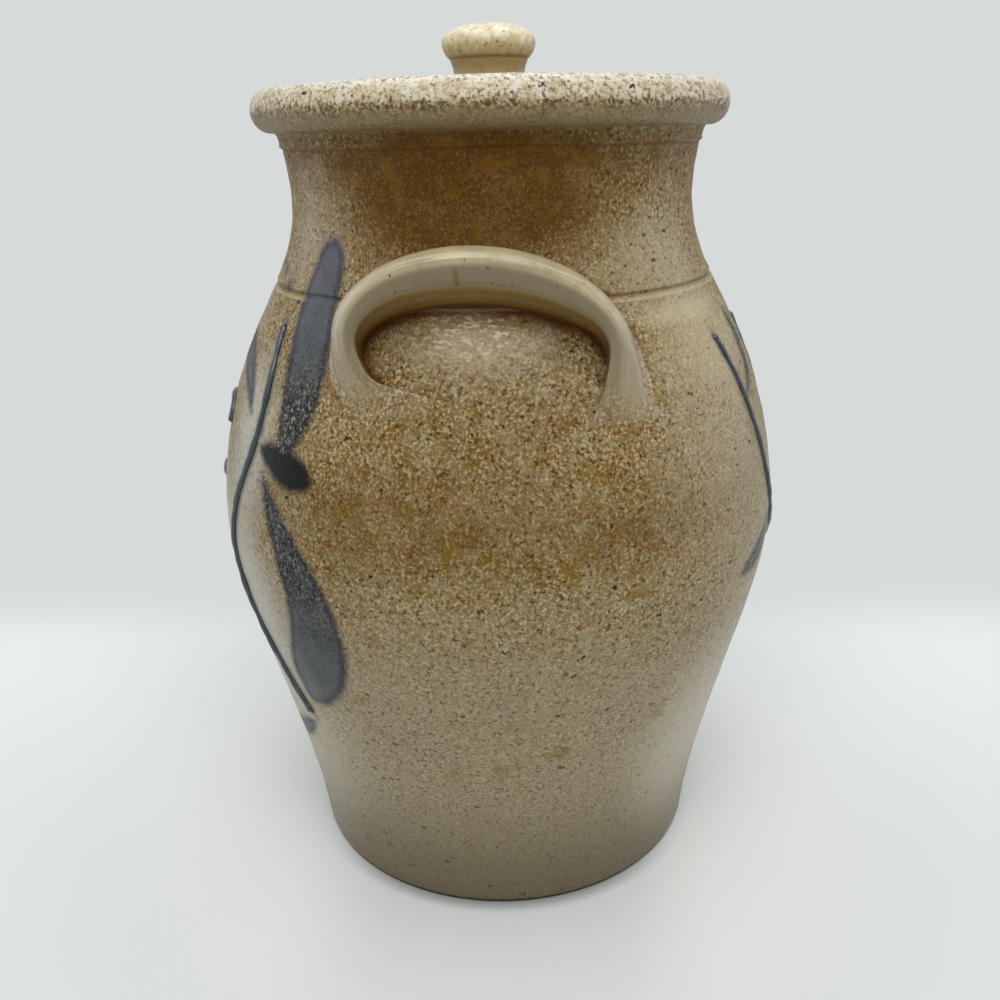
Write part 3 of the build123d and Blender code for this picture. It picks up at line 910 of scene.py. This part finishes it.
class TurnJar(CrockOperator, bpy.types.Operator):
    """The thrown jar with its rolled rim, salt glaze and painted leaves"""

    bl_idname = "crock.turn_jar"
    bl_label = "Jar"

    def execute(self, context):
        pot = context.scene.crock_pot
        outline = self.outline()
        angles = np.radians(np.concatenate([np.arange(-210.0, 30.0, 1.0), np.arange(30.0, 150.0, 2.0)]))
        grid = self.hand_made(spun(outline, angles), outline, angles, pot)
        points = grid_points(grid, (0.0, 0.0, 0.0), (0.0, 0.0, FLOOR_TOP))
        outside = np.hypot(points[:, 0], points[:, 1]) > wall_radius(points[:, 2]) - 3
        front_paint, front_pigment = paint_distance(points, FRONT_STROKES, -90)
        back_paint, back_pigment = paint_distance(points, BACK_STROKES, 90)
        under, top = lug_roots()
        attributes = {
            "paint": np.where(outside, np.maximum(front_paint, back_paint), FAR_FROM_PAINT),
            "pigment": np.where(front_paint > back_paint, front_pigment, back_pigment),
            "under_lug": line_distance(points, under),
            "over_lug": line_distance(points, top),
            "slip": line_distance(points, slip_lines(*FRONT_SLIP) + slip_lines(*BACK_SLIP), 8.0),
            "inside": (~outside).astype(float),
            "line": groove_offset(points[:, 2], np.arctan2(points[:, 1], points[:, 0])),
        }
        piece = build_mesh("jar_skin", points, closed_grid(len(outline), len(angles)), attributes)
        piece.data.materials.append(self.glaze(pot))
        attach(piece, "jar")
        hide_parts("jar_body")
        return {"FINISHED"}

    def outline(self):
        """Closed outline of the jar, from the middle of the base, up the outside and down the
        inside: straight runs, the wall's spline and elliptic arcs."""
        edge, lip = RECESS_RADIUS + EDGE_ROUND, MOUTH_RADIUS + EDGE_ROUND
        heights = np.concatenate([
            np.linspace(2.4, GROOVE_HEIGHT - 3.2, 144),
            np.linspace(GROOVE_HEIGHT - 2.8, GROOVE_HEIGHT + 2.8, 17),
            np.linspace(GROOVE_HEIGHT + 3.6, 253.2, 28),
        ])
        inside = [(radius - WALL_THICKNESS, height) for radius, height in WALL[1:-1]]
        inside = smooth_curve([(MOUTH_RADIUS, 254.8), *inside[::-1]], 40)
        corner = inside[-1, 0] - FLOOR_CORNER
        return joined(
            np.linspace((1.0, 0.0), (BASE_RADIUS, 0.0), 10),
            arc((BASE_RADIUS, BASE_ROUND), BASE_ROUND, 270, 345, 5),
            np.stack([wall_radius(heights), heights], -1),
            np.array(COLLAR),
            arc(ROLL_CENTER, ROLL_SIZE, *ROLL_ARC, 34),
            np.linspace((72.0, RIM_TOP), (edge, RIM_TOP), 2),
            arc((edge, RIM_TOP - EDGE_ROUND), EDGE_ROUND, 90, 180, 5),
            np.linspace((RECESS_RADIUS, RIM_TOP - 1.6), (RECESS_RADIUS, LEDGE_HEIGHT + 0.6), 3),
            np.linspace((RECESS_RADIUS - 0.6, LEDGE_HEIGHT), (lip, LEDGE_HEIGHT), 4),
            arc((lip, LEDGE_HEIGHT - EDGE_ROUND), EDGE_ROUND, 90, 180, 5),
            inside,
            arc((corner, FLOOR_TOP + FLOOR_CORNER), FLOOR_CORNER, 360, 270, 7),
            np.linspace((corner - 2, FLOOR_TOP), (1.0, FLOOR_TOP), 9),
        )

    def hand_made(self, grid, outline, angles, pot):
        """Moves the wall in and out: throwing rings are sines of the height whose phase climbs with
        the angle, the shoulder line is a narrow bell curve cut in with a smaller one pushed up above
        it, and the rim's top waves with sines of the angle."""
        height, reach = outline[:, 1:], outline[:, :1]
        rings = 0.6 + 0.4 * np.sin(height / RING_FADE + 1.3)
        rings = rings * np.sin(2 * np.pi * height / RING_PITCH + angles)
        rings = rings + 0.7 * np.sin(2 * np.pi * height / WIDE_PITCH + angles + 0.8 * np.sin(2 * angles))
        line = groove_offset(height, angles)
        shift = pot.ring_depth / MM * (rings / 3.4 - 0.5)
        shift = shift - pot.groove_depth / MM * np.exp(-((line / GROOVE_WIDTH) ** 2))
        shift = shift + LIP_RISE * np.exp(-(((line - LIP_OFFSET) / LIP_WIDTH) ** 2))
        outer = (reach > wall_radius(height) - 3) & (height > 1.0) & (height < COLLAR_FOOT)
        shift = shift * outer * ease_between(height, 0, 12.0) * ease_between(height, COLLAR_FOOT, -6.0)
        radial = np.stack([np.cos(angles), np.sin(angles), 0 * angles], -1)
        wave = 0.16 * np.sin(2 * angles + 0.4) + 0.1 * np.sin(5 * angles + 2.0) + 0.05 * np.sin(11 * angles)
        rim = (height > ROLL_FOOT) & (reach > RECESS_RADIUS - 0.1)
        lift = rim * (height - ROLL_FOOT) / (RIM_TOP - ROLL_FOOT) * (wave - 0.32)
        return grid + shift[..., None] * radial + lift[..., None] * UP

    def glaze(self, pot):
        """Speckled ground, flashing, pooled creases, cobalt paint and an orange-peel skin, with painted light
        and highlights in the recess under the lug at +X and on the shoulder, and painted shade at the foot.
        """
        clay = Clay("salt_glaze", Specular_IOR_Level=0.09, Coat_Roughness=0.2)
        height, patch = clay.height, clay.patch
        flash = self.flashing(clay)
        color = clay.drifted(pot).under(
            (pot.flash, flash * (1 - clay.light * 0.12)),
            ("flash_ochre", flash * clay.blotch.step(0.5, 0.62) * 0.5),
        )
        # Under the lug at +X the recess is glossier and smoother, and it is coloured paler as painted light,
        # with pale ripples as painted highlights.
        wet_gloss_and_painted_light = clay.spot((88, -3, 209), (26, 40, 15))
        ripple = clay.noise(2.3, 3.0, (1, 1, 2.2), 0.6)
        crease = clay.attribute("under_lug") + (patch - 0.5) * 5.0
        above = clay.attribute("over_lug") + (patch - 0.5) * 5.0
        line = clay.attribute("line")
        color = self.rim(clay, pot, color).under(
            # Painted light in the recess under the lug, then painted highlights on its ripples.
            ("wet_gloss_and_painted_light", wet_gloss_and_painted_light * 0.8),
            ("painted_gleam", ripple.step(0.5, 0.62) * wet_gloss_and_painted_light * (clay.grain * 0.8 + 0.5) * 0.68),
            (pot.crease, crease.step(4.2, 1.0) * 0.92),
            (pot.flash, above.step(6.0, 1.0) * 0.5),
            # Painted highlights: a pale band below the shoulder line and a pale patch on the shoulder, on the
            # +Y side.
            ("painted_band_highlight", clay.spot((52, 62, 206.5), (34, 34, 5)) * patch * 0.9),
            ("shoulder", clay.spot((48, 68, 198), (38, 36, 22)) * (patch * 0.8 + 0.6) * 0.34),
            ("line_shade", line.hump(0.15, 0.7) * 0.65),
            # Painted highlight: a thin pale line along the lower edge of the shoulder line.
            ("painted_edge_highlight", line.hump(-1.2, 0.9) * 0.4),
        )
        color, painted = self.cobalt(clay, pot, color)
        # Painted shade: the lowest two millimetres turn near black, rough and without coat, as a dark contact
        # line under the foot.
        foot = height.step(2.0, 1.0)
        color = color.under(("inside", clay.attribute("inside") * 0.75), ("painted_contact_shade", foot * 0.95))
        rough = clay.broad * 0.16 + clay.pits * 0.14 + 0.36 + foot * 0.3 - painted * 0.06 - wet_gloss_and_painted_light * 0.16
        skin = (clay.grain * 1.5 - clay.pits * 0.45) * clay.coarse * (1 - painted * 0.5)
        skin = skin + patch * 0.8 + ripple * wet_gloss_and_painted_light * 5.0
        coat = clay.calm * 0.35 + clay.low * 0.2 + height.step(258.0, 264.0) * 0.25 + 0.06
        coat = (coat + wet_gloss_and_painted_light * crease.step(2.0, 6.0) * 0.6).capped() * (1 - foot) * (1 - painted * 0.8)
        return clay.surface(
            Base_Color=color, Roughness=rough, Coat_Weight=coat, Normal=clay.bump(skin, 0.24, 0.9))

    def flashing(self, clay):
        """Share of dark brown flashing: a broad field on the neck over each lug, and a ring under
        the collar."""
        share = (clay.spots(NECK_FLASHES) * 1.35).capped() * (clay.drift * 0.2 + 0.8)
        share = share + clay.spots(NECK_DRIFTS) * clay.drift
        collar = clay.height.step(247.0, 253.0) * clay.height.step(262.0, 258.5) * 0.46
        return (share + collar * (clay.drift * 0.35 + 0.65)).capped(0.96)

    def rim(self, clay, pot, color):
        """The roll is grey-brown below, thick with dark specks round its middle, pale on top."""
        height = clay.height
        wander = height + (clay.patch - 0.5) * 3.6
        top = wander.step(265.4, 268.0)
        dense = wander.hump(266.0, 3.4) * 0.72 + top * 0.42
        return color.under(
            ("rim_grey", height.step(258.6, 260.6) * height.step(266.0, 264.0) * 0.7),
            ("rim_cream", top * 0.85),
            ("rim_top", height.step(270.0, 272.6) * 0.8),
            ("rim_white", clay.blotch.step(0.5, 0.36) * top * 0.4),
            ("rim_brown", clay.blotch.step(0.53, 0.66) * top * 0.4),
            ("rim_speck", (clay.grain * 0.5 + clay.crumb * 0.5).step(0.56, 0.38) * dense),
            ("rim_iron", clay.iron() * height.step(262.0, 265.0)),
            ("rim_fleck", clay.crumb.step(0.43, 0.33) * height.step(262.0, 266.0) * 0.7),
            (pot.crease, height.hump(254.6, 0.9) * 0.55),
        )

    def cobalt(self, clay, pot, color):
        """Cobalt strokes: soft-edged and watery, denser at one end, broken by the grain there, with a
        violet edge, and a faint bloom round the raised slip."""
        paint, pigment, patch = clay.attribute("paint"), clay.attribute("pigment"), clay.patch
        inside = (paint + (patch - 0.5) * 3.4 + (clay.crumb - 0.5) * 4.0).step(-2.1, 1.9)
        edge = (paint + (patch - 0.5) * 2.0).hump(1.2, 2.2)
        rough_part, solid = pigment.step(0.42, 0.8), pigment.step(0.88, 0.97)
        specked = (clay.grain * 0.6 + clay.crumb * 0.4 - 0.5) * (rough_part * 3.6 + 0.5)
        depth = (pigment * 0.95 + edge * 0.25 + (patch - 0.5) * 0.9 - specked).step(-0.05, 1.1)
        blue = clay.blend(pot.cobalt_thin, "violet_wash", pigment.step(0.36, 0.12) * 0.6).under(
            ("violet_edge", edge * 0.65), (pot.cobalt_dense, depth), ("cobalt_solid", solid))
        bloom = (clay.attribute("slip") + (patch - 0.5) * 4.0).step(4.2, 0.9) * 0.7
        color = color.under(
            ("cobalt_bloom", bloom * (1 - clay.light * 0.4)),
            (blue, inside * (solid * 0.04 + 0.96 - clay.light * 0.5 * (1 - solid) * rough_part)),
        )
        return color, inside


class PullLugs(CrockOperator, bpy.types.Operator):
    """The two arched lugs, pressed on to the shoulder"""

    bl_idname = "crock.pull_lugs"
    bl_label = "Lugs"

    def execute(self, context):
        material = self.clay(context.scene.crock_pot)
        for node, degrees, seed in (("handle_right", 0, 0.4), ("handle_left", 180, 2.1)):
            grid, around = lug_surface(seed)
            rows, columns = grid.shape[:2]
            points = grid_points(grid, grid[0].mean(0), grid[-1].mean(0))
            attributes = {
                "around": np.append(np.tile(around, rows), (0.0, 0.0)),
                "along": np.append(np.repeat(np.linspace(0, 1, rows), columns), (0.0, 1.0)),
            }
            name = node.replace("handle", "lug")
            piece = build_mesh(name, turned_about(points, degrees), closed_grid(rows, columns), attributes)
            piece.data.materials.append(material)
            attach(piece, "jar")
            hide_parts(node)
        return {"FINISHED"}

    def clay(self, pot):
        """Smooth wiped clay: cream over the top with painted highlights on the crest and along the lower
        edge, grey on the lower front darkened by painted shade, olive-brown below from pooled glaze and
        painted shade, with a strip of painted bounced light, and the jar's own ground at the feet."""
        finish = Clay("lug_glaze", Specular_IOR_Level=0.5, Coat_Roughness=0.1, Coat_Weight=0.4)
        around, along = finish.attribute("around"), finish.attribute("along")
        patch, fine = finish.noise(7.0, 4.0), finish.noise(1.3, 3.0)
        length = finish.add("ShaderNodeCombineXYZ", {}, {0: along * 14.0, 1: around * 44.0})
        sockets = {"Vector": length, "Scale": 1.0, "Detail": 3.0}
        streak = finish.add("ShaderNodeTexNoise", {}, sockets, "Fac")
        edge = around + (patch - 0.5) * 0.02
        # The underside is olive glaze darkened as painted shade, with a paler strip across it as painted
        # bounced light.
        olive = finish.blend("olive_glaze_and_lug_shade", "lug_painted_bounce_light", edge.hump(0.14, 0.035) * 0.9)
        drip = along.hump(0.462, 0.007) * edge.step(0.38, 0.33) * edge.step(0.24, 0.27)
        distance, cell = finish.cells(3.0)
        wander = along + (finish.patch - 0.5) * 0.12
        foot = (wander.step(0.79, 0.95) + wander.step(0.19, 0.07) + edge.step(0.67, 0.75)).capped()
        color = finish.blend(pot.lug_cream, "lug_patch", patch.step(0.42, 0.68) * 0.5).under(
            ("lug_streak", streak.step(0.5, 0.66) * 0.45),
            # Painted highlights on the crest and along the lower edge, and painted shade darkening the lower
            # front.
            ("lug_painted_crest_highlight", streak.step(0.48, 0.36) * around.hump(0.46, 0.12) * 0.4),
            ("lug_painted_low_shade", edge.step(0.40, 0.345) * 0.85),
            ("lug_painted_underedge_highlight", around.hump(0.257, 0.018) * 0.6),
            (olive, edge.step(0.245, 0.222)),
            (pot.crease, edge.step(0.105, 0.066)),
            ("lug_back", edge.step(0.64, 0.74) * 0.6),
            ("lug_drip", drip * 0.7),
            ("lug_speck", distance.step(0.17, 0.07) * cell.step(0.6, 0.64)),
            ("lug_smear", (along.step(0.70, 0.78) + along.step(0.24, 0.17)) * 0.6),
            (finish.drifted(pot), foot * 0.94),
        )
        skin = patch * 0.6 + fine * 0.22 + streak * 0.3 + finish.grain * foot * 1.2
        rough = fine * 0.14 + 0.28 + foot * 0.14
        return finish.surface(Base_Color=color, Roughness=rough, Normal=finish.bump(skin, 0.24, 0.7))


class TurnLid(CrockOperator, bpy.types.Operator):
    """The lid that lies in the rim, and its knob"""

    bl_idname = "crock.turn_lid"
    bl_label = "Lid"

    def execute(self, context):
        pot = context.scene.crock_pot
        plate, knob = (self.plate, LID_BASE, LID_TOP), (self.knob, KNOB_BASE, KNOB_TOP)
        self.add_turned("lid_disc", plate, self.lid_glaze(pot), "lid_plate", "salt_glazed_stoneware")
        self.add_turned("lid_knob_dome", knob, self.knob_glaze(pot), "lid_knob", "smooth_stoneware")
        return {"FINISHED"}

    def add_turned(self, name, shape, material, node, slot):
        """Adds a turned piece, of a surface and the heights of its poles, that rides with the lid."""
        surface, low, high = shape
        angles = np.radians(np.arange(0.0, 360.0, 2.0))
        grid = surface(angles)
        points = grid_points(grid, (0, 0, low), (0, 0, high))
        piece = build_mesh(name, points, closed_grid(len(grid), len(angles)))
        piece.data.materials.append(material)
        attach(piece, "lid")
        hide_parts(node)

    def plate(self, angles):
        """Flat disc with rounded edge and slightly domed top, on which shallow rings are sines of
        the radius whose phase climbs with the angle."""
        outline = joined(
            np.linspace((1.0, LID_BASE), (LID_EDGE, LID_BASE), 12),
            arc((LID_EDGE, LID_BASE + LID_ROUND), LID_ROUND, 270, 360, 6),
            arc((LID_EDGE, 269.6), LID_ROUND, 0, 88, 6),
            np.linspace((66.0, 271.42), (13.0, LID_TOP), 90),
            np.linspace((12.0, LID_TOP), (1.0, LID_TOP), 4),
        )
        radius, height = outline[:, :1], outline[:, 1:]
        rings = 0.14 * (np.sin(radius * 1.45 + angles) - 1.0)
        rings = rings * ease_between(radius, 15, 4) * ease_between(radius, 66, -3)
        grid = spun(outline, angles)
        grid[..., 2] += np.where(height > 270.0, rings, 0.0)
        return grid

    def knob(self, angles):
        """Mushroom knob: a spline to the crease and another over the crown, leaning to one side with
        a sine of the angle."""
        outline = joined(
            np.linspace((1.0, KNOB_BASE), (13.0, KNOB_BASE), 4),
            smooth_curve(KNOB[:KNOB_CREASE + 1], 26), smooth_curve(KNOB[KNOB_CREASE:], 60)[:-1],
        )
        height = outline[:, 1:]
        grid = spun(outline, angles)
        lean = ease_between(height, 274, 10) * ease_between(height, 292, -6)
        grid[..., 0] += 0.1 * np.sin(angles + 1.0) * lean
        return grid

    def lid_glaze(self, pot):
        """The jar's glaze, drier and more even."""
        clay = Clay("lid_glaze", Specular_IOR_Level=0.5, Coat_Weight=0.25, Coat_Roughness=0.18)
        color = clay.ground(pot).under(
            ("lid_pale", (clay.broad + clay.patch).step(0.8, 1.2) * 0.7),
            (pot.flash, clay.broad.step(0.52, 0.75) * 0.4),
        )
        normal = clay.bump(clay.grain * 1.5 - clay.pits * 0.45, 0.2, 0.8)
        return clay.surface(Base_Color=color, Roughness=clay.pits * 0.2 + 0.4, Normal=normal)

    def knob_glaze(self, pot):
        """Cream clay with a few brown specks, browner on the neck, with painted shade in the crease under the
        cap.
        """
        finish = Finish("knob_glaze", Specular_IOR_Level=0.5, Coat_Weight=0.3, Coat_Roughness=0.2)
        height = finish.axis("Z")
        patch, mottle, fine = finish.noise(6.0, 4.0), finish.noise(2.4, 4.0), finish.noise(0.9, 3.0)
        distance, cell = finish.cells(1.7)
        color = finish.blend("knob_side", "knob_crown", height.step(284.0, 290.0)).under(
            ("knob_neck", height.step(283.0, 280.0) * 0.8),
            # Painted shade in the crease under the cap.
            ("knob_painted_crease_shade", height.hump(281.4, 0.8) * 0.7),
            ("knob_patch", patch.step(0.5, 0.75) * 0.5),
            ("knob_pale", mottle.step(0.5, 0.64) * height.step(281.0, 286.0) * 0.6),
            ("knob_brown", mottle.step(0.46, 0.34) * 0.55),
            ("knob_speck", distance.step(0.3, 0.12) * cell.step(0.7, 0.74) * 0.9),
        )
        normal = finish.bump(patch * 0.4 + fine * 0.4 + mottle * 0.9, 0.2, 0.8)
        return finish.surface(Base_Color=color, Roughness=0.36 + fine * 0.2, Normal=normal)


class TrailSlip(CrockOperator, bpy.types.Operator):
    """Raised lines and berries of dark slip on the front and back"""

    bl_idname = "crock.trail_slip"
    bl_label = "Slip"

    def execute(self, context):
        pot = context.scene.crock_pot
        material = self.slip()
        half_width, height = pot.slip_width / MM / 2, pot.slip_height / MM
        front = ("slip_front", "front_trails", FRONT_SLIP, 1.0)
        back = ("slip_back", "back_trails", BACK_SLIP, BACK_THINNER)
        for name, node, face, thin in (front, back):
            lines = enumerate(slip_lines(*face))
            grids = [ridge(line, half_width * thin, height * thin, k) for k, line in lines]
            shapes = [(grid, grid[0].mean(0), grid[-1].mean(0)) for grid in grids]
            self.add_piece(name, node, shapes, material)
        self.add_piece("slip_berries", "front_beads", self.berries(pot.bead_radius / MM, height), material)
        return {"FINISHED"}

    def berries(self, radius, height):
        """Rows of drops, each a drop shorter than the one above it, that stay behind the front."""
        drops = []
        for row in range(BEAD_ROWS):
            for k in range(BEAD_ROWS - row):
                place = ((k - (BEAD_ROWS - row - 1) / 2) * BEAD_PITCH, BEAD_TOP - row * BEAD_PITCH)
                middle = face_trail((place, place), -1, 2)[0]
                rise = min(height * 1.35, FRONT_REACH + middle[1])
                size = radius * (0.9 + 0.08 * ((row + 2 * k) % 3))
                drops.append(drop(middle, size, rise, row * 3 + k))
        return drops

    def add_piece(self, name, node, shapes, material):
        """Joins closed grids, each with its two poles, into one piece."""
        points, faces, first = [], [], 0
        for grid, start, end in shapes:
            rows, columns = grid.shape[:2]
            points.append(grid_points(grid, start, end))
            faces += closed_grid(rows, columns, first)
            first += rows * columns + 2
        piece = build_mesh(name, np.concatenate(points), faces)
        piece.data.materials.append(material)
        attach(piece, "jar")
        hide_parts(node)

    def slip(self):
        """Glossy blue-black slip, bluer where it is thin and with a few pale salt flecks."""
        finish = Finish("cobalt_slip", Specular_IOR_Level=0.5, Coat_Weight=0.5, Coat_Roughness=0.12)
        patch, fine = finish.noise(4.0, 4.0), finish.noise(0.8, 3.0)
        color = finish.blend("slip_dark", "slip_blue", patch.step(0.45, 0.75) * 0.8)
        color = color.under(("slip_salt", fine.step(0.66, 0.78) * 0.35))
        normal = finish.bump(patch * 0.5 + fine * 0.3, 0.14, 0.7)
        return finish.surface(Base_Color=color, Roughness=0.26 + fine * 0.16, Normal=normal)


class CROCK_PT_panel(bpy.types.Panel):
    """Sizes and colours of the crock, and a button for each step"""

    bl_label = "Stoneware Crock"
    bl_space_type = "VIEW_3D"
    bl_region_type = "UI"
    bl_category = "Crock"

    def draw(self, context):
        for group in (context.scene.crock_stage, context.scene.crock_pot):
            box = self.layout.box()
            for label in group.bl_rna.properties.keys():
                if label not in ("rna_type", "name"):
                    box.prop(group, label)
        for step in STEPS:
            self.layout.operator(step.bl_idname)


STEPS = (SetStage, TurnJar, PullLugs, TurnLid, TrailSlip)
CLASSES = (StageSettings, PotSettings, *STEPS, CROCK_PT_panel)


def register():
    for kind in CLASSES:
        bpy.utils.register_class(kind)
    bpy.types.Scene.crock_stage = bpy.props.PointerProperty(type=StageSettings)
    bpy.types.Scene.crock_pot = bpy.props.PointerProperty(type=PotSettings)


def unregister():
    del bpy.types.Scene.crock_pot
    del bpy.types.Scene.crock_stage
    for kind in reversed(CLASSES):
        bpy.utils.unregister_class(kind)


def main():
    register()
    bpy.ops.crock.set_stage()
    bpy.ops.crock.turn_jar()
    bpy.ops.crock.pull_lugs()
    bpy.ops.crock.turn_lid()
    bpy.ops.crock.trail_slip()
    lists = [[list(corner) for corner in bounds] for bounds in (cad_bounds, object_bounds())]


if __name__ == "__main__":
    main()
